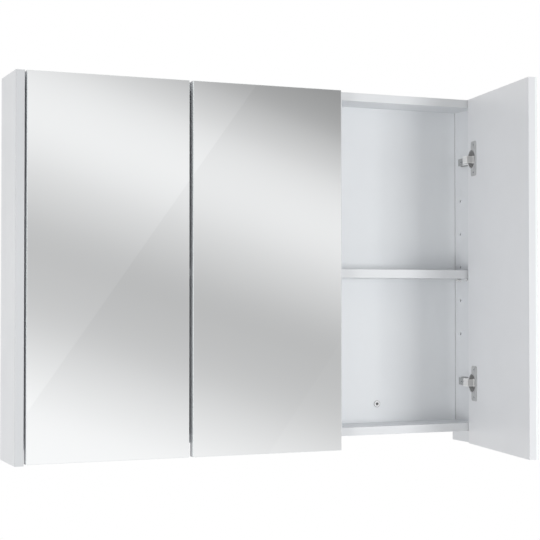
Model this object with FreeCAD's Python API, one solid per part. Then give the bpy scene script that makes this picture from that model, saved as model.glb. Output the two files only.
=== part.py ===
import FreeCAD
import Part
import os

# Wall-hung cabinet with three inset mirror doors, in millimetres.
# The wall is the plane y = 0, the doors face -Y, +Z is up, and z = 0 is at mid height.

# Overall size
width = 900.0
height = 650.0
depth = 110.0

# Boards and glass
board = 15.0
back_board = 12.0
door_board = 12.0
mirror_glass = 4.0
mirror_arris = 0.6
edge_round = 1.0

# Gaps round the doors, and the finger grip under the bottom panel
side_gap = 4.0
door_gap = 7.0
front_gap = 5.0
door_bottom_gap = 2.0
bottom_rise = 25.0
open_angle = 80.0

# Shelves and their pins
shelf_board = 16.0
shelf_top_z = 3.0
shelf_setback = 2.0
shelf_end_gap = 1.0
shelf_back_gap = 0.5
pin_radius = 2.5
pin_in_board = 6.5
pin_out = 9.0
pin_rear_inset = 19.5
pin_front_inset = 20.0
pin_row_middle_z = 9.5
pin_row_pitch = 64.0
pin_row_count = 5
pin_chamfer = 0.5

# Dowels and cam fittings of the corner joints
dowel_radius = 4.0
dowel_in_face = 10.0
dowel_in_end = 20.0
dowel_end_room = 1.0
dowel_front_inset = 15.0
dowel_rear_inset = 28.0
dowel_chamfer = 1.0
cam_radius = 7.5
cam_height = 12.0
cam_from_end = 34.0
cam_slot = 2.0
cam_slot_length = 10.0
cam_slot_depth = 2.0
cam_pocket_height = 7.0
bolt_radius = 2.5
bolt_thread_radius = 3.0
bolt_thread_length = 11.0
bolt_head_radius = 3.2
bolt_head_length = 3.0
bolt_bore_radius = 4.0

# Wall fixings in the back
eyelet_from_side = 172.0
eyelet_from_bottom = 35.0
eyelet_bore_radius = 2.75
eyelet_sleeve_radius = 4.0
eyelet_flange_radius = 6.5
eyelet_flange = 1.5
eyelet_round = 0.6
hanger_from_side = 55.0
hanger_from_top = 34.0
hanger_length = 60.0
hanger_height = 24.0
hanger_plate = 2.0
hanger_corner = 4.0
hanger_screw_spacing = 44.0
keyhole_entry_radius = 5.0
keyhole_slot_radius = 2.6
keyhole_rise = 8.0
keyhole_room_depth = 7.0
keyhole_room_margin = 2.0
hanger_screw_radius = 1.6
hanger_screw_head_radius = 3.0
hanger_screw_length = 8.0
hanger_screw_sink = 0.3

# Hinges: the pin stands inside the cup, the strap arm reaches it through the cup's mouth
hinge_from_end = 114.0
axis_from_edge = 9.0
axis_from_inner = 7.6
cup_from_edge = 20.5
cup_radius = 17.3
cup_depth = 10.6
cup_wall = 0.8
cup_floor = 0.6
cup_rim_radius = 18.2
flange = 1.0
flange_length = 65.0
flange_width = 26.0
flange_reach = 22.5
flange_corner = 5.0
cup_screw_spacing = 52.0
cup_screw_offset = 9.5
cup_screw_radius = 1.7
cup_screw_head_radius = 3.2
cup_screw_head = 1.2
cup_screw_length = 9.0
ear_radius = 2.4
ear_thickness = 1.2
pivot_radius = 1.2
pivot_overhang = 0.2
eye_wall = 0.8
arm_width = 13.5
arm_strap = 1.6
arm_tongue = 1.4
arm_reach = 15.1
arm_rise = 15.0
arm_bend = 1.5
arm_inner_bend = 0.5
arm_end_gap = 1.0
arm_seat = 6.2
plate_start = 24.0
plate_end = 58.0
plate_base = 3.0
plate_width = 16.0
plate_corner = 4.0
boss_width = 11.0
boss_inset = 1.0
plate_screw_spacing = 22.0
plate_screw_radius = 2.2
plate_screw_head_radius = 3.8
plate_screw_head = 2.0
plate_screw_length = 14.0
arm_screw_inset = 13.5
arm_screw_radius = 2.0
arm_screw_head_radius = 3.0
arm_screw_head = 1.6
arm_screw_length = 7.0

# Clearances
push_fit = 0.05
screw_fit = 0.05
running_fit = 0.05
pin_fit = 0.02
bore_fit = 0.2
cam_fit = 0.1
screw_end_room = 0.5
ear_gap = 0.3
pocket_fit = 0.1
seat_gap = 0.02

# Places that follow from the sizes above
side_in = width / 2 - board
side_out = width / 2
front_y = -depth
door_thickness = door_board + mirror_glass
door_inner_y = front_y + door_thickness
glass_back_y = front_y + mirror_glass
carcass_front_y = door_inner_y + front_gap
top_z = height / 2
top_under_z = top_z - board
side_bottom_z = -height / 2
bottom_under_z = side_bottom_z + bottom_rise
bottom_top_z = bottom_under_z + board
door_bottom_z = side_bottom_z + door_bottom_gap
door_width = (2 * side_in - 2 * side_gap - 2 * door_gap) / 3
divider_x = door_width / 2 + door_gap / 2
divider_left = divider_x - board / 2
divider_right = divider_x + board / 2
back_y = -back_board
shelf_front_y = carcass_front_y + shelf_setback
pin_rear_y = back_y - pin_rear_inset
pin_front_y = shelf_front_y + pin_front_inset
dowel_front_y = carcass_front_y + dowel_front_inset
dowel_rear_y = -dowel_rear_inset
cam_y = (dowel_front_y + dowel_rear_y) / 2
eyelet_x = side_in - eyelet_from_side
eyelet_z = bottom_top_z + eyelet_from_bottom
hanger_x = side_in - hanger_from_side
hanger_z = top_under_z - hanger_from_top
shelf_under_z = shelf_top_z - shelf_board
shelf_pin_z = shelf_under_z - pin_radius - push_fit
hinge_heights = [top_z - hinge_from_end, door_bottom_z + hinge_from_end]
axis_y = door_inner_y - axis_from_inner
cup_u = cup_from_edge - axis_from_edge
cup_inner_radius = cup_radius - cup_wall
mouth_v = axis_from_inner
cup_floor_v = mouth_v - cup_depth + cup_floor
plate_start_v = mouth_v + plate_start
plate_end_v = mouth_v + plate_end
plate_middle_v = (plate_start_v + plate_end_v) / 2
arm_screw_places = [plate_start_v + arm_screw_inset, plate_end_v - arm_screw_inset]
eye_radius = pivot_radius + running_fit + eye_wall


def vec(x, y, z):
    return FreeCAD.Vector(x, y, z)


def block(x0, x1, y0, y1, z0, z1):
    return Part.makeBox(x1 - x0, y1 - y0, z1 - z0, vec(x0, y0, z0))


def rod(radius, length, base, direction):
    return Part.makeCylinder(radius, length, base, direction)


def edges_along(shape, direction, length):
    found = []
    for edge in shape.Edges:
        if len(edge.Vertexes) == 2 and abs(edge.Length - length) < 1e-6:
            span = edge.Vertexes[1].Point - edge.Vertexes[0].Point
            if abs(abs(span.dot(direction)) - length) < 1e-6:
                found.append(edge)
    return found


def rounded_slab(x0, x1, y0, y1, z0, z1, radius, direction):
    slab = block(x0, x1, y0, y1, z0, z1)
    thickness = abs(vec(x1 - x0, y1 - y0, z1 - z0).dot(direction))
    return slab.makeFillet(radius, edges_along(slab, direction, thickness))


def chamfered_rod(radius, length, base, direction, chamfer):
    plain = rod(radius, length, base, direction)
    return plain.makeChamfer(chamfer, [e for e in plain.Edges if len(e.Vertexes) == 1])


def countersunk_screw(radius, head_radius, head, length, base, direction):
    # base is the middle of the flush head, direction runs along the shank
    cone = Part.makeCone(head_radius, radius, head, base, direction)
    shank = rod(radius, length - head, base + direction * head, direction)
    return cone.fuse(shank).removeSplitter()


def countersunk_hole(radius, head_radius, head, length, base, direction, fit):
    cone = Part.makeCone(head_radius + fit, radius + fit, head, base, direction)
    shank = rod(radius + fit, length + screw_end_room - head, base + direction * head, direction)
    return cone.fuse(shank)


# Hinge pieces are drawn round the pin: u runs along the shut door away from its hinged edge, v into the cabinet


def flange_profile(v0, v1):
    ring = rod(cup_rim_radius, v1 - v0, vec(cup_u, v0, 0), vec(0, 1, 0))
    far = cup_u + flange_reach
    half = flange_length / 2
    bar = rounded_slab(far - flange_width, far, v0, v1, -half, half, flange_corner, vec(0, 1, 0))
    return ring.fuse(bar).removeSplitter()


def cup_screw_bases():
    u = cup_u + cup_screw_offset
    return [vec(u, mouth_v + flange, s * cup_screw_spacing / 2) for s in (-1, 1)]


def cup_screw_set():
    sizes = (cup_screw_radius, cup_screw_head_radius, cup_screw_head, cup_screw_length)
    return [countersunk_screw(*sizes, base, vec(0, -1, 0)) for base in cup_screw_bases()]


def cup_screw_cuts():
    sizes = (cup_screw_radius, cup_screw_head_radius, cup_screw_head, cup_screw_length)
    return [countersunk_hole(*sizes, base, vec(0, -1, 0), screw_fit) for base in cup_screw_bases()]


def hinge_cup():
    floor_out = mouth_v - cup_depth
    shell = rod(cup_radius, cup_depth, vec(cup_u, floor_out, 0), vec(0, 1, 0))
    shell = shell.fuse(flange_profile(mouth_v, mouth_v + flange))
    hollow_depth = cup_depth - cup_floor + flange
    shell = shell.cut(rod(cup_inner_radius, hollow_depth, vec(cup_u, cup_floor_v, 0), vec(0, 1, 0)))
    inner = arm_width / 2 + ear_gap
    for w0 in (inner, -inner - ear_thickness):
        ear = rod(ear_radius, ear_thickness, vec(0, 0, w0), vec(0, 0, 1))
        ear = ear.fuse(block(-ear_radius, ear_radius, cup_floor_v, 0, w0, w0 + ear_thickness))
        shell = shell.fuse(ear)
    reach = inner + ear_thickness
    shell = shell.cut(rod(pivot_radius + pin_fit, 2 * reach, vec(0, 0, -reach), vec(0, 0, 1)))
    for cut in cup_screw_cuts():
        shell = shell.cut(cut)
    return shell.removeSplitter()


def cup_recess():
    radius = cup_radius + bore_fit
    recess_depth = cup_depth + bore_fit
    return rod(radius, recess_depth, vec(cup_u, mouth_v - recess_depth, 0), vec(0, 1, 0))


def hinge_pin():
    reach = arm_width / 2 + ear_gap + ear_thickness + pivot_overhang
    return rod(pivot_radius, 2 * reach, vec(0, 0, -reach), vec(0, 0, 1))


def hinge_arm(face_u):
    # a strap bent round the door's swinging edge: tongue, outer leg, cross leg, then the leg on the plate
    seat = face_u + arm_seat + seat_gap
    end_v = plate_end_v - arm_end_gap
    half = arm_tongue / 2
    outline = [
        (0, -half), (arm_reach, -half), (arm_reach, arm_rise), (seat + arm_strap, arm_rise),
        (seat + arm_strap, end_v), (seat, end_v), (seat, arm_rise - arm_strap),
        (arm_reach - arm_strap, arm_rise - arm_strap), (arm_reach - arm_strap, half), (0, half),
    ]
    points = [vec(u, v, -arm_width / 2) for u, v in outline]
    strap = Part.Face(Part.makePolygon(points + points[:1])).extrude(vec(0, 0, arm_width))
    uprights = edges_along(strap, vec(0, 0, 1), arm_width)
    outer = [outline[1], outline[2], outline[6]]
    inner = [outline[3], outline[7], outline[8]]

    def at(edge, places):
        corner = edge.Vertexes[0].Point
        return any(abs(corner.x - u) + abs(corner.y - v) < 1e-6 for u, v in places)

    strap = strap.makeFillet(arm_bend, [e for e in uprights if at(e, outer)])
    uprights = edges_along(strap, vec(0, 0, 1), arm_width)
    strap = strap.makeFillet(arm_inner_bend, [e for e in uprights if at(e, inner)])
    eye = rod(eye_radius, arm_width, vec(0, 0, -arm_width / 2), vec(0, 0, 1))
    arm = strap.fuse(eye)
    arm = arm.cut(rod(pivot_radius + running_fit, arm_width, vec(0, 0, -arm_width / 2), vec(0, 0, 1)))
    for v in arm_screw_places:
        arm = arm.cut(rod(arm_screw_radius + screw_fit, arm_strap, vec(seat, v, 0), vec(1, 0, 0)))
    return arm.removeSplitter()


def arm_screw_set(face_u):
    screws = []
    top = face_u + arm_seat + seat_gap + arm_strap
    for v in arm_screw_places:
        head = rod(arm_screw_head_radius, arm_screw_head, vec(top, v, 0), vec(1, 0, 0))
        shank = rod(arm_screw_radius, arm_screw_length, vec(top, v, 0), vec(-1, 0, 0))
        screws.append(head.fuse(shank).removeSplitter())
    return screws


def plate_screw_bases(face_u):
    u = face_u + plate_base
    return [vec(u, plate_middle_v + s * plate_screw_spacing / 2, 0) for s in (-1, 1)]


def plate_screw_set(face_u):
    sizes = (plate_screw_radius, plate_screw_head_radius, plate_screw_head, plate_screw_length)
    return [countersunk_screw(*sizes, base, vec(-1, 0, 0)) for base in plate_screw_bases(face_u)]


def plate_screw_cuts(face_u):
    sizes = (plate_screw_radius, plate_screw_head_radius, plate_screw_head, plate_screw_length)
    return [countersunk_hole(*sizes, base, vec(-1, 0, 0), screw_fit) for base in plate_screw_bases(face_u)]


def hinge_plate(face_u):
    # a narrow plate under the arm: its two wood screws stand in line, each head down a well in the raised boss
    top = face_u + plate_base
    seat = face_u + arm_seat
    half = plate_width / 2
    plate = rounded_slab(face_u, top, plate_start_v, plate_end_v, -half, half, plate_corner, vec(1, 0, 0))
    boss_v0 = plate_start_v + boss_inset
    boss_v1 = plate_end_v - boss_inset
    boss = block(top, seat, boss_v0, boss_v1, -boss_width / 2, boss_width / 2)
    plate = plate.fuse(boss).removeSplitter()
    for base, cut in zip(plate_screw_bases(face_u), plate_screw_cuts(face_u)):
        well = rod(plate_screw_head_radius + bore_fit, seat - top, base, vec(1, 0, 0))
        plate = plate.cut(cut).cut(well)
    bore_depth = arm_screw_length - arm_strap - seat_gap + screw_end_room
    for v in arm_screw_places:
        plate = plate.cut(rod(arm_screw_radius + screw_fit, bore_depth, vec(seat, v, 0), vec(-1, 0, 0)))
    return plate


# Each door: name, its left and right edges, the side its hinge is on (+1 when u runs along +X), and the
# x of the board face that carries its hinges
half_door = door_width / 2
left_edge = -side_in + side_gap
right_edge = side_in - side_gap
doors = {
    "left": (left_edge, left_edge + door_width, 1, -side_in),
    "middle": (-half_door, half_door, -1, divider_left),
    "right": (right_edge - door_width, right_edge, -1, side_in),
}


def axis_x(name):
    x0, x1, side, face_x = doors[name]
    return x0 + axis_from_edge if side > 0 else x1 - axis_from_edge


def face_offset(name):
    x0, x1, side, face_x = doors[name]
    return side * (face_x - axis_x(name))


def at_hinge(shape, name, z):
    side = doors[name][2]
    turned = shape.copy() if side > 0 else shape.mirror(vec(0, 0, 0), vec(1, 0, 0))
    turned.translate(vec(axis_x(name), axis_y, z))
    return turned


def at_both_hinges(shapes, name):
    return [at_hinge(shape, name, z) for z in hinge_heights for shape in shapes]


def swung(shape, name):
    # the right door stands open, the other two are shut
    if name == "right":
        shape = shape.copy()
        shape.rotate(vec(axis_x(name), axis_y, 0), vec(0, 0, 1), open_angle)
    return shape


def door_panel(name):
    x0, x1 = doors[name][:2]
    panel = block(x0, x1, glass_back_y, door_inner_y, door_bottom_z, top_z)
    for cut in at_both_hinges([cup_recess()] + cup_screw_cuts(), name):
        panel = panel.cut(cut)
    return panel


def mirror(name):
    x0, x1 = doors[name][:2]
    glass = block(x0, x1, front_y, glass_back_y, door_bottom_z, top_z)
    front = [e for e in glass.Edges if all(abs(v.Y - front_y) < 1e-6 for v in e.Vertexes)]
    return glass.makeChamfer(mirror_arris, front)


# Carcass


def corner_joints():
    # every dowel: the middle of the joint face and the way into the end grain of the fitted board
    joints = []
    for y in (dowel_front_y, dowel_rear_y):
        for z in (top_z - board / 2, bottom_under_z + board / 2):
            joints.append((vec(-side_in, y, z), vec(1, 0, 0)))
            joints.append((vec(side_in, y, z), vec(-1, 0, 0)))
        joints.append((vec(divider_x, y, top_under_z), vec(0, 0, -1)))
        joints.append((vec(divider_x, y, bottom_top_z), vec(0, 0, 1)))
    return joints


def dowels():
    length = dowel_in_face + dowel_in_end
    return [
        chamfered_rod(dowel_radius, length, place - into * dowel_in_face, into, dowel_chamfer)
        for place, into in corner_joints()
    ]


def dowel_bores():
    length = dowel_in_face + dowel_in_end + 2 * dowel_end_room
    return [
        rod(dowel_radius + push_fit, length, place - into * (dowel_in_face + dowel_end_room), into)
        for place, into in corner_joints()
    ]


def cam_places():
    # the joint face's middle, the way into the fitted board, and the way out of the face that shows the cam
    places = []
    for z, out in ((top_z - board / 2, 1), (bottom_under_z + board / 2, -1)):
        places.append((vec(-side_in, cam_y, z), vec(1, 0, 0), vec(0, 0, out)))
        places.append((vec(side_in, cam_y, z), vec(-1, 0, 0), vec(0, 0, out)))
    return places


def cam_locks():
    cams = []
    for place, into, out in cam_places():
        face = place + into * cam_from_end + out * (board / 2)
        cam = rod(cam_radius, cam_height, face, out * -1)
        pocket = cam_pocket_height / 2
        mouth = rod(pocket, 2 * cam_radius, place + into * (cam_from_end + pocket), into * -1)
        cam = cam.cut(mouth)
        arm = cam_slot_length / 2
        thin = cam_slot / 2
        for dx, dy in ((arm, thin), (thin, arm)):
            z0, z1 = sorted((face.z, face.z - out.z * cam_slot_depth))
            cam = cam.cut(block(face.x - dx, face.x + dx, face.y - dy, face.y + dy, z0, z1))
        cams.append(cam)
    return cams


def cam_bolts():
    bolts = []
    for place, into, out in cam_places():
        thread = rod(bolt_thread_radius, bolt_thread_length, place, into * -1)
        shank = rod(bolt_radius, cam_from_end, place, into)
        head = rod(bolt_head_radius, bolt_head_length, place + into * (cam_from_end - bolt_head_length), into)
        bolts.append(thread.fuse(shank).fuse(head).removeSplitter())
    return bolts


def cam_bores():
    bores = []
    for place, into, out in cam_places():
        face = place + into * cam_from_end + out * (board / 2)
        bores.append(rod(cam_radius + cam_fit, cam_height + screw_end_room, face, out * -1))
        bores.append(rod(bolt_bore_radius, cam_from_end, place, into))
    return bores


def bolt_bores():
    length = bolt_thread_length + screw_end_room
    return [
        rod(bolt_thread_radius + screw_fit, length, place, into * -1)
        for place, into, out in cam_places()
    ]


def pin_holes(face_x, out):
    # out points from the board face into the bay
    holes = []
    first = pin_row_middle_z - pin_row_pitch * (pin_row_count - 1) / 2
    rows = [first + pin_row_pitch * n for n in range(pin_row_count)] + [shelf_pin_z]
    for z in rows:
        for y in (pin_rear_y, pin_front_y):
            base = vec(face_x, y, z)
            holes.append(rod(pin_radius + push_fit, pin_in_board + screw_end_room, base, out * -1))
    return holes


def shelf_pins(left_face, right_face):
    pins = []
    length = pin_in_board + pin_out
    for face_x, out in ((left_face, vec(1, 0, 0)), (right_face, vec(-1, 0, 0))):
        for y in (pin_rear_y, pin_front_y):
            base = vec(face_x, y, shelf_pin_z) - out * pin_in_board
            pins.append(chamfered_rod(pin_radius, length, base, out, pin_chamfer))
    return pins


def hinge_screw_bores(name):
    return at_both_hinges(plate_screw_cuts(face_offset(name)), name)


def cut_all(shape, cuts):
    for cut in cuts:
        if shape.BoundBox.intersect(cut.BoundBox):
            shape = shape.cut(cut)
    return shape


def side_panel(side):
    x0, x1 = sorted((side * side_in, side * side_out))
    panel = block(x0, x1, front_y, 0, side_bottom_z, top_z)
    panel = panel.makeFillet(edge_round, [
        e for e in edges_along(panel, vec(0, 0, 1), height) if abs(e.Vertexes[0].Y - front_y) < 1e-6
    ])
    cuts = dowel_bores() + bolt_bores()
    cuts += pin_holes(side * side_in, vec(-side, 0, 0))
    cuts += hinge_screw_bores("left" if side < 0 else "right")
    return cut_all(panel, cuts)


def level_panel(z0):
    panel = block(-side_in, side_in, carcass_front_y, 0, z0, z0 + board)
    return cut_all(panel, dowel_bores() + cam_bores())


def centre_divider():
    panel = block(divider_left, divider_right, carcass_front_y, back_y, bottom_top_z, top_under_z)
    cuts = dowel_bores() + hinge_screw_bores("middle")
    cuts += pin_holes(divider_left, vec(-1, 0, 0)) + pin_holes(divider_right, vec(1, 0, 0))
    return cut_all(panel, cuts)


def shelf(left_face, right_face):
    x0 = left_face + shelf_end_gap
    x1 = right_face - shelf_end_gap
    y0 = shelf_front_y
    plain = block(x0, x1, y0, back_y - shelf_back_gap, shelf_under_z, shelf_top_z)
    return plain.makeFillet(edge_round, [
        e for e in edges_along(plain, vec(1, 0, 0), x1 - x0) if abs(e.Vertexes[0].Y - y0) < 1e-6
    ])


def hanger_screw_bases():
    half = hanger_screw_spacing / 2
    y = -hanger_screw_sink
    return [vec(s * hanger_x + t * half, y, hanger_z) for s in (-1, 1) for t in (-1, 1)]


def keyhole(side, depth_y, margin):
    # round entry below, slot rising from it
    x = side * hanger_x
    entry_z = hanger_z - keyhole_rise / 2
    top = hanger_z + keyhole_rise / 2
    entry = rod(keyhole_entry_radius + margin, depth_y, vec(x, -depth_y, entry_z), vec(0, 1, 0))
    radius = keyhole_slot_radius + margin
    slot = block(x - radius, x + radius, -depth_y, 0, entry_z, top)
    end = rod(radius, depth_y, vec(x, -depth_y, top), vec(0, 1, 0))
    return entry.fuse(slot).fuse(end)


def hanger_slab(side, fit):
    x = side * hanger_x
    half = hanger_length / 2 + fit
    tall = hanger_height / 2 + fit
    thick = hanger_plate + fit
    return rounded_slab(x - half, x + half, -thick, 0, hanger_z - tall, hanger_z + tall, hanger_corner, vec(0, 1, 0))


def hanger_screw_cuts():
    sizes = (hanger_screw_radius, hanger_screw_head_radius, hanger_plate, hanger_screw_length)
    cuts = []
    for base in hanger_screw_bases():
        mouth = rod(hanger_screw_head_radius + screw_fit, hanger_screw_sink, base, vec(0, 1, 0))
        cuts.append(countersunk_hole(*sizes, base, vec(0, -1, 0), screw_fit).fuse(mouth))
    return cuts


def hanger_plates():
    return [cut_all(hanger_slab(s, 0).cut(keyhole(s, hanger_plate, 0)), hanger_screw_cuts()) for s in (-1, 1)]


def hanger_screws():
    sizes = (hanger_screw_radius, hanger_screw_head_radius, hanger_plate, hanger_screw_length)
    return [countersunk_screw(*sizes, base, vec(0, -1, 0)) for base in hanger_screw_bases()]


def back_panel():
    panel = block(-side_in, side_in, back_y, 0, bottom_top_z, top_under_z)
    cuts = hanger_screw_cuts()
    for s in (-1, 1):
        cuts.append(hanger_slab(s, pocket_fit))
        cuts.append(keyhole(s, hanger_plate + keyhole_room_depth, keyhole_room_margin))
        base = vec(s * eyelet_x, back_y, eyelet_z)
        cuts.append(rod(eyelet_sleeve_radius + push_fit, back_board, base, vec(0, 1, 0)))
    return cut_all(panel, cuts)


def wall_eyelets():
    eyelets = []
    for s in (-1, 1):
        face = vec(s * eyelet_x, back_y, eyelet_z)
        collar = rod(eyelet_flange_radius, eyelet_flange, face, vec(0, -1, 0))
        rim = [e for e in collar.Edges if abs(e.BoundBox.YMax - back_y + eyelet_flange) < 1e-6]
        collar = collar.makeFillet(eyelet_round, rim)
        sleeve = rod(eyelet_sleeve_radius, back_board, face, vec(0, 1, 0))
        bore_start = face - vec(0, eyelet_flange, 0)
        bore = rod(eyelet_bore_radius, back_board + eyelet_flange, bore_start, vec(0, 1, 0))
        eyelets.append(collar.fuse(sleeve).cut(bore).removeSplitter())
    return eyelets


def save(node, shapes):
    whole = shapes[0] if len(shapes) == 1 else Part.makeCompound(shapes)
    whole.exportStep("parts/" + node + ".step")


os.makedirs("parts", exist_ok=True)

save("left_side_panel", [side_panel(-1)])
save("right_side_panel", [side_panel(1)])
save("top_panel", [level_panel(top_under_z)])
save("bottom_panel", [level_panel(bottom_under_z)])
save("centre_divider", [centre_divider()])
save("back_panel", [back_panel()])
save("left_shelf", [shelf(-side_in, divider_left)])
save("right_shelf", [shelf(divider_right, side_in)])
save("left_shelf_pins", shelf_pins(-side_in, divider_left))
save("right_shelf_pins", shelf_pins(divider_right, side_in))
save("dowels", dowels())
save("cam_locks", cam_locks())
save("cam_bolts", cam_bolts())
save("hanger_plates", hanger_plates())
save("hanger_screws", hanger_screws())
save("wall_eyelets", wall_eyelets())

for name in doors:
    offset = face_offset(name)
    save(name + "_door_panel", [swung(door_panel(name), name)])
    save(name + "_mirror", [swung(mirror(name), name)])
    for level, z in zip(("upper", "lower"), hinge_heights):
        save(name + "_" + level + "_hinge_cup", [swung(at_hinge(hinge_cup(), name, z), name)])
        save(name + "_" + level + "_hinge_arm", [at_hinge(hinge_arm(offset), name, z)])
        save(name + "_" + level + "_hinge_plate", [at_hinge(hinge_plate(offset), name, z)])
    save(name + "_hinge_pins", [swung(s, name) for s in at_both_hinges([hinge_pin()], name)])
    save(name + "_cup_screws", [swung(s, name) for s in at_both_hinges(cup_screw_set(), name)])
    save(name + "_plate_screws", at_both_hinges(plate_screw_set(offset), name))
    save(name + "_arm_screws", at_both_hinges(arm_screw_set(offset), name))
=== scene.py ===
import math

import bmesh
import bpy
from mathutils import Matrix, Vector


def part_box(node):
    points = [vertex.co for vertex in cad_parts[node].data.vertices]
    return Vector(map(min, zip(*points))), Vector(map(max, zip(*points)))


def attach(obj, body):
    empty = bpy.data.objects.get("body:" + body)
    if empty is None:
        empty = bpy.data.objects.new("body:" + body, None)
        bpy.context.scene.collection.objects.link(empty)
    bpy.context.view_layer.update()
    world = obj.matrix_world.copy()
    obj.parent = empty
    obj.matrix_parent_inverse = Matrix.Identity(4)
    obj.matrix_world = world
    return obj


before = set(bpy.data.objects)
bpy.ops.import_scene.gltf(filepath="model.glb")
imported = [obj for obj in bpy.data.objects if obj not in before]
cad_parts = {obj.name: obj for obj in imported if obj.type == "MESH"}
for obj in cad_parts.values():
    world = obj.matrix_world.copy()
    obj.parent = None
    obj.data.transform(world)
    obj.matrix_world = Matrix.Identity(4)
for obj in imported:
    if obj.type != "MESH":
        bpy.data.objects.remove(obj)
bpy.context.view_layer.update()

# Carcass boards: two sides, a top, a bottom and a divider of 15 mm chipboard faced with white foil.
# The front edges carry a thin glued band, and dowels and cam locks draw the corners together.
to_front = (0.0, -1.0, 0.0)
band_thickness = 0.0008
band_glue_line = 0.00012
joint_line = 0.0012
board_white = (0.80, 0.815, 0.835, 1.0)
board_shade = (0.765, 0.78, 0.80, 1.0)
edge_band_white = (0.755, 0.77, 0.785, 1.0)
side_band_grey = (0.63, 0.645, 0.66, 1.0)
glue_grey = (0.50, 0.51, 0.52, 1.0)
# A dark grey of painted shade, for the back panel's joint gaps and the eyelets' rims and bores.
painted_shade_grey = (0.48, 0.485, 0.49, 1.0)
foil_cloud_scale = 7.0
foil_wipe_scale = 23.0
foil_wave_scale = 60.0
foil_gloss = (0.29, 0.38)
foil_wave_strength = 0.04
foil_wave_height = 0.0004
noise_low, noise_high = 0.3, 0.7


def step(tree, kind, inputs, **settings):
    """Adds one node to a node tree, with its values or links, and gives its outputs."""
    made = tree.nodes.new(kind)
    for name, value in settings.items():
        setattr(made, name, value)
    for socket, value in inputs.items():
        if isinstance(value, bpy.types.NodeSocket):
            tree.links.new(value, made.inputs[socket])
        else:
            made.inputs[socket].default_value = value
    return made.outputs


def reckon(tree, operation, *values):
    """One sum or test on two or three numbers."""
    return step(tree, "ShaderNodeMath", dict(enumerate(values)), operation=operation)[0]


def start_finish(name):
    """A new finish: its material, node tree, shader and Object coordinates."""
    material = bpy.data.materials.new(name)
    material.use_nodes = True
    tree = material.node_tree
    shader = tree.nodes["Principled BSDF"]
    place = step(tree, "ShaderNodeTexCoord", {})["Object"]
    return material, tree, shader, place


def cloud(tree, place, scale, detail):
    """A soft noise over a surface."""
    return step(tree, "ShaderNodeTexNoise", {"Vector": place, "Scale": scale, "Detail": detail})["Fac"]


def between(tree, noise, low, high):
    """A number that goes from low to high with a noise."""
    ends = {"Value": noise, "From Min": noise_low, "From Max": noise_high, "To Min": low, "To Max": high}
    return step(tree, "ShaderNodeMapRange", ends)["Result"]


def blend_colours(tree, amount, first, second):
    """Goes from the first colour to the second as the amount goes from 0 to 1."""
    return step(tree, "ShaderNodeMix", {0: amount, 6: first, 7: second}, data_type="RGBA")[2]


def two_tone(tree, noise, first, second):
    """Goes from the first colour to the second with a noise."""
    return blend_colours(tree, between(tree, noise, 0.0, 1.0), first, second)


def relief(tree, shader, height, strength, distance):
    """Gives a finish a fine raised pattern."""
    raised = {"Height": height, "Strength": strength, "Distance": distance}
    tree.links.new(step(tree, "ShaderNodeBump", raised)["Normal"], shader.inputs["Normal"])


def reach_of(node, facing):
    """How far a CAD node reaches in a direction."""
    return max(vert.co.dot(Vector(facing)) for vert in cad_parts[node].data.vertices)


def reach_at(tree, place, facing):
    """How far each point of a surface lies in a direction."""
    return step(tree, "ShaderNodeVectorMath", {0: place, 1: facing}, operation="DOT_PRODUCT")["Value"]


def foil_board(name, white, shade, banded=None, facing=to_front, band=edge_band_white, joints=()):
    """White foil with faint clouding, the glued band of a node's edge and dark lines of painted shade in the
    joint gaps at given x values.
    """
    material, tree, shader, place = start_finish(name)
    tint = two_tone(tree, cloud(tree, place, foil_cloud_scale, detail=4.0), shade, white)
    across = step(tree, "ShaderNodeSeparateXYZ", {"Vector": place})["X"]
    # Each joint gets a dark line: painted shade of the gap between the boards.
    for at in joints:
        tint = blend_colours(tree, reckon(tree, "COMPARE", across, at, joint_line), tint, painted_shade_grey)
    if banded is not None:
        line = reach_of(banded, facing) - band_thickness
        out = reach_at(tree, place, facing)
        tint = blend_colours(tree, reckon(tree, "GREATER_THAN", out, line), tint, band)
        tint = blend_colours(tree, reckon(tree, "COMPARE", out, line, band_glue_line), tint, glue_grey)
    tree.links.new(tint, shader.inputs["Base Color"])
    wipe = cloud(tree, place, foil_wipe_scale, detail=5.0)
    tree.links.new(between(tree, wipe, *foil_gloss), shader.inputs["Roughness"])
    waves = cloud(tree, place, foil_wave_scale, detail=1.0)
    relief(tree, shader, waves, foil_wave_strength, foil_wave_height)
    return material


def dress(finish, *names):
    """Gives CAD nodes their finish in every material slot."""
    for name in names:
        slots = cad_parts[name].data.materials
        slots.clear()
        slots.append(finish)


side_foil = foil_board("side_foil", board_white, board_shade, "left_side_panel", band=side_band_grey)
dress(side_foil, "left_side_panel", "right_side_panel")
carcass_foil = foil_board("carcass_foil", board_white, board_shade, "top_panel")
dress(carcass_foil, "top_panel", "bottom_panel", "centre_divider")

# Back panel: a white faced board let in between sides, top and bottom, flush with the wall face.
# It carries the hanging plates on its rear and the two lower wall fixings.
back_white = (0.86, 0.88, 0.895, 1.0)
back_shade = (0.83, 0.85, 0.87, 1.0)
back_ends = [corner[0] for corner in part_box("back_panel")]
# Its two ends carry a dark line of painted shade where the back panel meets the sides.
dress(foil_board("back_foil", back_white, back_shade, joints=back_ends), "back_panel")

# Shelves: loose white boards at mid height, one behind the two shut doors and one in the open bay.
# Each lies on four steel pins, and its front edge is banded as the carcass boards are.
shelf_foil = foil_board("shelf_foil", board_white, board_shade, "right_shelf")
dress(shelf_foil, "left_shelf", "right_shelf")

# Shelf pins: short turned steel pegs with a nickel coat, pushed into the bored rows of the uprights.
# The coat is bright, with fine turning rings and a little dulling.
pin_bright = (0.88, 0.88, 0.87, 1.0)
pin_dull = (0.78, 0.78, 0.77, 1.0)
metal_patch_scale = 160.0
metal_gloss_scale = 420.0
scratch_scale = (900.0, 900.0, 5200.0)
scratch_height = 0.0001


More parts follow.
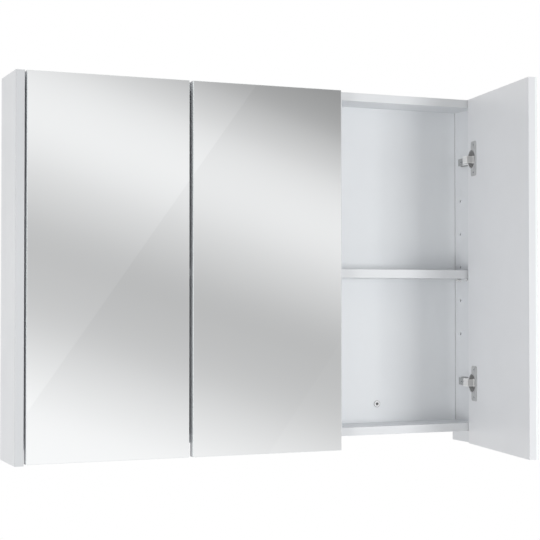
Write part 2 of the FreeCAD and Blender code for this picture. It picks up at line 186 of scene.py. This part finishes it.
def plated_metal(name, bright, dull, gloss, scratch, metallic=1.0):
    """Plated steel: dulled patches, uneven gloss and fine drawn scratches; a satin coat is less metallic."""
    material, tree, shader, place = start_finish(name)
    shader.inputs["Metallic"].default_value = metallic
    tint = two_tone(tree, cloud(tree, place, metal_patch_scale, detail=4.0), dull, bright)
    tree.links.new(tint, shader.inputs["Base Color"])
    uneven = cloud(tree, place, metal_gloss_scale, detail=3.0)
    tree.links.new(between(tree, uneven, *gloss), shader.inputs["Roughness"])
    drawn = step(tree, "ShaderNodeMapping", {"Vector": place, "Scale": scratch_scale})["Vector"]
    relief(tree, shader, cloud(tree, drawn, scale=1.0, detail=2.0), scratch, scratch_height)
    return material


pin_nickel = plated_metal("pin_nickel", pin_bright, pin_dull, gloss=(0.20, 0.34), scratch=0.05, metallic=0.4)
dress(pin_nickel, "left_shelf_pins", "right_shelf_pins")

# Corner fixings: beech dowels and zinc cams with their bolts, all inside the boards once it is assembled.
# Dowels are rolled from straight-grained rod; the cams are die cast with a grey skin.
beech_light = (0.62, 0.43, 0.25, 1.0)
beech_dark = (0.42, 0.26, 0.13, 1.0)
beech_fibre_scale = (40.0, 700.0, 700.0)
beech_gloss = (0.70, 0.55)
groove_strength = 0.3
groove_height = 0.0002
zinc_light = (0.56, 0.57, 0.58, 1.0)
zinc_dark = (0.42, 0.43, 0.44, 1.0)
beech, tree, shader, place = start_finish("dowel_beech")
along = step(tree, "ShaderNodeMapping", {"Vector": place, "Scale": beech_fibre_scale})["Vector"]
fibre = cloud(tree, along, scale=1.0, detail=5.0)
tree.links.new(two_tone(tree, fibre, beech_dark, beech_light), shader.inputs["Base Color"])
tree.links.new(between(tree, fibre, *beech_gloss), shader.inputs["Roughness"])
relief(tree, shader, fibre, groove_strength, groove_height)
dress(beech, "dowels")
cast_zinc = plated_metal("cast_zinc", zinc_light, zinc_dark, gloss=(0.38, 0.55), scratch=0.25)
dress(cast_zinc, "cam_locks", "cam_bolts")

# Door boards: 12 mm boards behind the mirrors, white foil on the inside and a greyer band on the free edge.
# They hang inset between the side panels and reach below the bottom panel as the finger grip.
door_white = (0.82, 0.83, 0.85, 1.0)
door_shade = (0.79, 0.80, 0.82, 1.0)
door_band_white = (0.735, 0.745, 0.765, 1.0)
open_angle = math.radians(80.0)
free_edge = {"left": (1.0, 0.0, 0.0), "middle": (-1.0, 0.0, 0.0),
             "right": (-math.cos(open_angle), -math.sin(open_angle), 0.0)}
for door, facing in free_edge.items():
    panel = door + "_door_panel"
    dress(foil_board(door + "_door_foil", door_white, door_shade, panel, facing, door_band_white), panel)

# Mirrors: 4 mm silvered glass, cut to the size of its door and glued flat on the board.
# The face is a clean mirror; the ground and polished arris shows as a thin pale glass line.
silver = (0.935, 0.945, 0.95, 1.0)
silver_film = (0.925, 0.935, 0.94, 1.0)
glass_edge = (0.86, 0.90, 0.90, 1.0)
film_scale = 5.0
face_gloss = (0.006, 0.02)
edge_gloss = 0.16
face_tolerance = 0.00006
door_front = {"left": to_front, "middle": to_front,
              "right": (math.sin(open_angle), -math.cos(open_angle), 0.0)}


def mirror_finish(name, node, outward):
    """Silvered glass: a mirror on its face and pale polished glass on its edges."""
    material, tree, shader, place = start_finish(name)
    face = reach_of(node, outward) - face_tolerance
    on_face = reckon(tree, "GREATER_THAN", reach_at(tree, place, outward), face)
    film = cloud(tree, place, film_scale, detail=6.0)
    clean = two_tone(tree, film, silver_film, silver)
    tree.links.new(blend_colours(tree, on_face, glass_edge, clean), shader.inputs["Base Color"])
    tree.links.new(on_face, shader.inputs["Metallic"])
    wiped = between(tree, film, *face_gloss)
    gloss = step(tree, "ShaderNodeMix", {0: on_face, 2: edge_gloss, 3: wiped})[0]
    tree.links.new(gloss, shader.inputs["Roughness"])
    return material


for door, outward in door_front.items():
    dress(mirror_finish(door + "_mirror_glass", door + "_mirror", outward), door + "_mirror")

# Hinges: concealed cup hinges of pressed and plated steel, two to a door.
# The flanged cup sits in the door, the bent arm hooks round its pin, and the plate is screwed to the upright.
hinge_ends = ("upper", "lower")
arm_bright = (0.97, 0.97, 0.965, 1.0)
arm_dull = (0.92, 0.92, 0.915, 1.0)
# Painted highlight: the strap's top and bottom edges stay bright and its middle is greyed.
arm_middle = (0.82, 0.82, 0.815, 1.0)
arm_highlight_edge = 0.0020
# Painted shade: the arm's tail towards the plate turns grey.
arm_tail_start, arm_tail_end = -0.058, -0.050
arm_tail_shade = (0.42, 0.425, 0.43, 1.0)
plate_bright = (0.52, 0.52, 0.52, 1.0)
plate_dull = (0.40, 0.40, 0.405, 1.0)
cup_bright = (0.60, 0.60, 0.60, 1.0)
cup_dull = (0.50, 0.50, 0.505, 1.0)
steel_bright = (0.66, 0.66, 0.66, 1.0)
steel_dull = (0.50, 0.50, 0.50, 1.0)


def arm_finish(end):
    """Nickelled strap with a painted highlight along its top and bottom edges against a greyer middle, and
    painted shade on its tail on the plate.
    """
    name = end + "_arm_nickel"
    material = plated_metal(name, arm_bright, arm_dull, gloss=(0.28, 0.36), scratch=0.02, metallic=0.15)
    tree = material.node_tree
    shader = tree.nodes["Principled BSDF"]
    tint = shader.inputs["Base Color"].links[0].from_socket
    place = step(tree, "ShaderNodeTexCoord", {})["Object"]
    parts = step(tree, "ShaderNodeSeparateXYZ", {"Vector": place})
    low, high = [corner[2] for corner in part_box(f"right_{end}_hinge_arm")]
    # Painted highlight: all but the top and bottom edges of the strap turn greyer.
    inside = reckon(tree, "COMPARE", parts["Z"], (low + high) / 2, (high - low) / 2 - arm_highlight_edge)
    tint = blend_colours(tree, inside, tint, arm_middle)
    # Painted shade: the tail fades to grey towards the rear.
    tail = {"Value": parts["Y"], "From Min": arm_tail_start, "From Max": arm_tail_end}
    rear = step(tree, "ShaderNodeMapRange", tail)["Result"]
    tree.links.new(blend_colours(tree, rear, tint, arm_tail_shade), shader.inputs["Base Color"])
    return material


arm_nickel = {end: arm_finish(end) for end in hinge_ends}
plate_nickel = plated_metal("plate_nickel", plate_bright, plate_dull,
                            gloss=(0.30, 0.42), scratch=0.06, metallic=0.7)
cup_nickel = plated_metal("cup_nickel", cup_bright, cup_dull, gloss=(0.28, 0.42), scratch=0.04, metallic=0.4)
pin_steel = plated_metal("pin_steel", steel_bright, steel_dull, gloss=(0.15, 0.28), scratch=0.05)
for door in door_front:
    for end in hinge_ends:
        dress(cup_nickel, f"{door}_{end}_hinge_cup")
        dress(arm_nickel[end], f"{door}_{end}_hinge_arm")
        dress(plate_nickel, f"{door}_{end}_hinge_plate")
    dress(pin_steel, door + "_hinge_pins")

# Screws: countersunk wood screws of cups and plates, pan-headed arm screws and the hanger screws.
# All are plated steel; on every head Geometry Nodes set a thin near-black cross with a round throat, painted
# shade of a pressed cross recess.
# The slots and the throat's radius are in radii of the head, and the throat's depth is in slot lifts.
screw_light = (0.70, 0.71, 0.72, 1.0)
screw_dark = (0.50, 0.51, 0.52, 1.0)
recess_black = (0.05, 0.05, 0.055, 1.0)
recess_grey = (0.12, 0.12, 0.125, 1.0)
recess_gloss = (0.40, 0.60)
recess_mottle_scale = 900.0
slot_length = 1.15
slot_width = 0.30
slot_lift = 0.02
throat_radius = 0.27
throat_lifts = 1.4
throat_sides = 12
merge_gap = 1e-6
rim_tolerance = 1e-5
cup_head, plate_head, arm_head, hanger_head = 0.0032, 0.0038, 0.0030, 0.0030
towards_bay = {"left": (1, 0, 0), "middle": (-1, 0, 0), "right": (-1, 0, 0)}
towards_wall = (0, 1, 0)
screw_zinc = plated_metal("screw_zinc", screw_light, screw_dark, gloss=(0.22, 0.36), scratch=0.10)
dress(screw_zinc, "hanger_screws")
for door in door_front:
    dress(screw_zinc, door + "_cup_screws", door + "_plate_screws", door + "_arm_screws")
# The crosses are near black with a random mottle: painted shade of the recess.
recess_shade, tree, shader, place = start_finish("recess_shade")
shader.inputs["Metallic"].default_value = 1.0
recess_mottle = cloud(tree, place, recess_mottle_scale, detail=3.0)
tree.links.new(two_tone(tree, recess_mottle, recess_black, recess_grey), shader.inputs["Base Color"])
tree.links.new(between(tree, recess_mottle, *recess_gloss), shader.inputs["Roughness"])


def recess_tree():
    """A thin cross with a round throat, painted shade of a cross recess, set on each point and turned to its
    facing.
    """
    tree = bpy.data.node_groups.new("cross_recess", "GeometryNodeTree")
    face = tree.interface
    face.new_socket("Heads", in_out="INPUT", socket_type="NodeSocketGeometry")
    sizes = {"Slot length": slot_length, "Slot width": slot_width, "Slot lift": slot_lift,
             "Throat radius": throat_radius}
    for name, value in sizes.items():
        socket = face.new_socket(name, in_out="INPUT", socket_type="NodeSocketFloat")
        socket.default_value = value
    face.new_socket("Recesses", in_out="OUTPUT", socket_type="NodeSocketGeometry")
    inputs = tree.nodes.new("NodeGroupInput").outputs
    lift = inputs["Slot lift"]
    slots = []
    for x, y in (("Slot length", "Slot width"), ("Slot width", "Slot length")):
        size = step(tree, "ShaderNodeCombineXYZ", {"X": inputs[x], "Y": inputs[y], "Z": lift})[0]
        slots.append(step(tree, "GeometryNodeMeshCube", {"Size": size})["Mesh"])
    deep = reckon(tree, "MULTIPLY", lift, throat_lifts)
    throat = {"Vertices": throat_sides, "Radius": inputs["Throat radius"], "Depth": deep}
    slots.append(step(tree, "GeometryNodeMeshCylinder", throat)["Mesh"])
    cross = tree.nodes.new("GeometryNodeJoinGeometry")
    for slot in slots:
        tree.links.new(slot, cross.inputs[0])
    facing = step(tree, "GeometryNodeInputNamedAttribute", {"Name": "facing"}, data_type="FLOAT_VECTOR")[0]
    turned = step(tree, "FunctionNodeAlignRotationToVector", {"Vector": facing}, axis="Z")[0]
    radius = step(tree, "GeometryNodeInputNamedAttribute", {"Name": "head_radius"}, data_type="FLOAT")[0]
    placed = {"Points": inputs["Heads"], "Instance": cross.outputs[0], "Rotation": turned, "Scale": radius}
    many = step(tree, "GeometryNodeInstanceOnPoints", placed)[0]
    solid = step(tree, "GeometryNodeRealizeInstances", {"Geometry": many})[0]
    painted = step(tree, "GeometryNodeSetMaterial", {"Geometry": solid, "Material": recess_shade})[0]
    tree.links.new(painted, tree.nodes.new("NodeGroupOutput").inputs[0])
    return tree


def press_recesses(name, body, heads, tree):
    """Turns a list of (centre, facing, head radius) into one mesh of recesses on a body."""
    points = bpy.data.meshes.new(name + "_heads")
    points.from_pydata([centre for centre, facing, radius in heads], [], [])
    points.attributes.new("facing", "FLOAT_VECTOR", "POINT")
    points.attributes.new("head_radius", "FLOAT", "POINT")
    for i, (centre, facing, radius) in enumerate(heads):
        points.attributes["facing"].data[i].vector = facing
        points.attributes["head_radius"].data[i].value = radius
    piece = bpy.data.objects.new(name, points)
    bpy.context.scene.collection.objects.link(piece)
    press = piece.modifiers.new("press", "NODES")
    press.node_group = tree
    for item in tree.interface.items_tree:
        if item.in_out == "INPUT" and item.name == "Slot length":
            press[item.identifier] = slot_length
    evaluated = piece.evaluated_get(bpy.context.evaluated_depsgraph_get())
    mesh = bpy.data.meshes.new_from_object(evaluated)
    piece.modifiers.clear()
    piece.data = mesh
    mesh.name = name
    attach(piece, body)


def heads_of(node, facing, radius):
    """Head centres of a screw node: the middles of its loose screws' outermost flat faces."""
    out = Vector(facing)
    found = []
    bm = bmesh.new()
    bm.from_mesh(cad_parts[node].data)
    bmesh.ops.remove_doubles(bm, verts=bm.verts, dist=merge_gap)
    waiting = set(bm.verts)
    while waiting:
        loose = [waiting.pop()]
        screw = []
        while loose:
            vert = loose.pop()
            screw.append(vert.co.copy())
            for edge in vert.link_edges:
                other = edge.other_vert(vert)
                if other in waiting:
                    waiting.remove(other)
                    loose.append(other)
        top = max(co.dot(out) for co in screw)
        rim = [co for co in screw if co.dot(out) > top - rim_tolerance]
        low = Vector([min(co[i] for co in rim) for i in range(3)])
        high = Vector([max(co[i] for co in rim) for i in range(3)])
        found.append(((low + high) / 2, out, radius))
    bm.free()
    return found


recesses = recess_tree()
fixed_heads = heads_of("hanger_screws", towards_wall, hanger_head)
for door, outward in door_front.items():
    cups = heads_of(door + "_cup_screws", -Vector(outward), cup_head)
    press_recesses(door + "_cup_screw_recesses", door + "_door", cups, recesses)
    fixed_heads += heads_of(door + "_plate_screws", towards_bay[door], plate_head)
    fixed_heads += heads_of(door + "_arm_screws", towards_bay[door], arm_head)
press_recesses("cabinet_screw_recesses", "cabinet", fixed_heads, recesses)

# Hanging plates: two keyhole plates of bent sheet steel, let flush into the rear of the back panel.
# The cabinet drops on to two wall screws through them.
hanger_light = (0.68, 0.69, 0.70, 1.0)
hanger_dark = (0.52, 0.53, 0.55, 1.0)
plate_zinc = plated_metal("plate_zinc", hanger_light, hanger_dark, gloss=(0.28, 0.45), scratch=0.12)
dress(plate_zinc, "hanger_plates")

# Wall eyelets: pale plastic ferrules that line the two lower fixing holes of the back panel.
# Each has a small flange on the inside, with its rim and its bore painted dark grey as painted shade; the
# screw goes through its bore.
eyelet_white = (0.96, 0.965, 0.97, 1.0)
eyelet_shade = (0.92, 0.925, 0.93, 1.0)
eyelet_gloss = (0.30, 0.42)
eyelet_flow_scale = 300.0
eyelet_rim_width = 0.0011
eyelet_bore_radius = 0.0029
eyelet_low, eyelet_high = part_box("wall_eyelets")
eyelet_radius = (eyelet_high[2] - eyelet_low[2]) / 2
eyelet_side = eyelet_high[0] - eyelet_radius
eyelet_drop = -(eyelet_low[2] + eyelet_radius)
eyelet_plastic, tree, shader, place = start_finish("eyelet_plastic")
flow = cloud(tree, place, eyelet_flow_scale, detail=3.0)
moulded = two_tone(tree, flow, eyelet_shade, eyelet_white)
folded = step(tree, "ShaderNodeVectorMath", {0: place}, operation="ABSOLUTE")[0]
parts = step(tree, "ShaderNodeSeparateXYZ", {"Vector": folded})
sideways = reckon(tree, "SUBTRACT", parts["X"], eyelet_side)
downwards = reckon(tree, "SUBTRACT", parts["Z"], eyelet_drop)
across = step(tree, "ShaderNodeCombineXYZ", {"X": sideways, "Z": downwards})[0]
radius = step(tree, "ShaderNodeVectorMath", {0: across}, operation="LENGTH")["Value"]
# Painted shade: the flange's rim and the bore turn dark grey.
on_rim = reckon(tree, "GREATER_THAN", radius, eyelet_radius - eyelet_rim_width)
in_bore = reckon(tree, "LESS_THAN", radius, eyelet_bore_radius)
rim_and_bore_shade = reckon(tree, "MAXIMUM", on_rim, in_bore)
tree.links.new(blend_colours(tree, rim_and_bore_shade, moulded, painted_shade_grey), shader.inputs["Base Color"])
tree.links.new(between(tree, flow, *eyelet_gloss), shader.inputs["Roughness"])
dress(eyelet_plastic, "wall_eyelets")

# Floor: a pale studio floor well below the hung cabinet, which keeps its soft shadow.
# It fades to plain white towards its rim for the camera.
floor_level = -0.95
floor_radius = 1.75
floor_fade_start = 0.9
floor_points = 72
floor_speck_scale = 4.0
floor_roughness = 0.7
floor_light = (0.86, 0.86, 0.86, 1.0)
floor_grey = (0.83, 0.83, 0.83, 1.0)
plain_white = (1.0, 1.0, 1.0, 1.0)


def flat_sheet(name, corners):
    """A stage surface made of one ring of points."""
    mesh = bpy.data.meshes.new(name)
    mesh.from_pydata(corners, [], [tuple(range(len(corners)))])
    sheet = bpy.data.objects.new(name, mesh)
    bpy.context.scene.collection.objects.link(sheet)
    return sheet


turns = [2 * math.pi * i / floor_points for i in range(floor_points)]
ring = [(floor_radius * math.cos(a), floor_radius * math.sin(a), floor_level) for a in turns]
floor = flat_sheet("floor", ring)
floor_pale, tree, shader, place = start_finish("floor_pale")
pale = two_tone(tree, cloud(tree, place, floor_speck_scale, detail=3.0), floor_grey, floor_light)
tree.links.new(pale, shader.inputs["Base Color"])
shader.inputs["Roughness"].default_value = floor_roughness
level = step(tree, "ShaderNodeVectorMath", {0: place, 1: (1.0, 1.0, 0.0)}, operation="MULTIPLY")[0]
reach = step(tree, "ShaderNodeVectorMath", {0: level}, operation="LENGTH")["Value"]
fade = {"Value": reach, "From Min": floor_fade_start, "From Max": floor_radius}
rim = step(tree, "ShaderNodeMapRange", fade)["Result"]
seen = step(tree, "ShaderNodeLightPath", {})["Is Camera Ray"]
white_share = reckon(tree, "MULTIPLY", rim, seen)
glow = step(tree, "ShaderNodeEmission", {"Color": plain_white, "Strength": 1.0})[0]
mixed = step(tree, "ShaderNodeMixShader", {0: white_share, 1: shader.outputs[0], 2: glow})[0]
tree.links.new(mixed, tree.nodes["Material Output"].inputs["Surface"])
floor.data.materials.append(floor_pale)

# Reflection card: a large grey card with soft slanting bands and one steep streak, hung before the cabinet.
# Only reflections see it, so the mirrors show the studio's bands.
card_y = -2.6
card_half = 2.2
card_slant = 0.33
card_low, card_high = -0.616, 1.160
card_bands = ((0.0, 0.96), (0.14, 0.88), (0.28, 0.64), (0.42, 0.51), (0.52, 0.57), (0.62, 0.73),
              (0.72, 0.82), (0.82, 0.70), (0.91, 0.47), (1.0, 0.32))
card_glow = 1.12
streak_lean = 1.385
streak_edges = ((-0.648, -0.06), (-2.08, 0.02))
card = flat_sheet("reflection_card", [
    (-card_half, card_y, -card_half), (-card_half, card_y, card_half),
    (card_half, card_y, card_half), (card_half, card_y, -card_half)])
card_grey, tree, shader, place = start_finish("card_grey")
parts = step(tree, "ShaderNodeSeparateXYZ", {"Vector": place})
band = reckon(tree, "MULTIPLY_ADD", parts["X"], card_slant, parts["Z"])
span = {"Value": band, "From Min": card_low, "From Max": card_high}
level = step(tree, "ShaderNodeMapRange", span)["Result"]
ramp = tree.nodes.new("ShaderNodeValToRGB")
tree.links.new(level, ramp.inputs[0])
ramp.color_ramp.interpolation = "CARDINAL"
stops = ramp.color_ramp.elements
ready_stops = len(stops)
for i, (at, grey) in enumerate(card_bands):
    stop = stops[i] if i < ready_stops else stops.new(at)
    stop.position = at
    stop.color = (grey, grey, grey, 1.0)
lean = reckon(tree, "MULTIPLY_ADD", parts["X"], -streak_lean, parts["Z"])
brightness = card_glow
for edge, change in streak_edges:
    beyond = reckon(tree, "LESS_THAN", lean, edge)
    brightness = reckon(tree, "MULTIPLY_ADD", beyond, change, brightness)
glow = step(tree, "ShaderNodeEmission", {"Color": ramp.outputs["Color"], "Strength": brightness})[0]
tree.links.new(glow, tree.nodes["Material Output"].inputs["Surface"])
card.data.materials.append(card_grey)
card.visible_camera = False
card.visible_diffuse = False
card.visible_shadow = False
card.visible_transmission = False

# Studio light: one soft box in front, a weaker one from the left and a pale room all round.
# The room is plain white to the eye and to reflections, and gives the object a lower level of light.
room_level = 0.50
world = bpy.data.worlds.new("studio_room")
bpy.context.scene.world = world
world.use_nodes = True
tree = world.node_tree
tree.nodes.clear()
path = step(tree, "ShaderNodeLightPath", {})
shown = reckon(tree, "MAXIMUM", path["Is Camera Ray"], path["Is Glossy Ray"])
shown = reckon(tree, "MAXIMUM", shown, path["Is Transmission Ray"])
strength = step(tree, "ShaderNodeMapRange", {"Value": shown, "To Min": room_level, "To Max": 1.0})["Result"]
room = step(tree, "ShaderNodeBackground", {"Color": plain_white, "Strength": strength})[0]
step(tree, "ShaderNodeOutputWorld", {"Surface": room})


def soft_box(name, place, aim, size, power):
    """A square area lamp turned to a point, unseen in the mirrors."""
    lamp = bpy.data.lights.new(name, "AREA")
    lamp.size = size
    lamp.energy = power
    stand = bpy.data.objects.new(name, lamp)
    stand.location = place
    stand.rotation_euler = (Vector(aim) - Vector(place)).to_track_quat("-Z", "Y").to_euler()
    bpy.context.scene.collection.objects.link(stand)
    stand.visible_camera = False
    stand.visible_glossy = False


soft_box("front_box", place=(0.8, -3.2, -0.2), aim=(0.1, -0.1, 0.0), size=0.8, power=38.5)
soft_box("left_box", place=(-2.6, -1.6, -0.5), aim=(0.2, -0.1, -0.1), size=0.8, power=27.0)

# Camera: a long lens left of the cabinet and at the height of its middle.
# It is turned to the right and tilted up a little.
camera = bpy.data.cameras.new("camera")
camera.sensor_width = 36.0
camera.lens = 92.71
eye = bpy.data.objects.new("camera", camera)
eye.location = (-0.9527, -2.3622, -0.0517)
eye.rotation_euler = (math.radians(91.197), 0.0, math.radians(-22.966))
bpy.context.scene.collection.objects.link(eye)
bpy.context.scene.camera = eye
bpy.context.scene.view_settings.view_transform = "Standard"
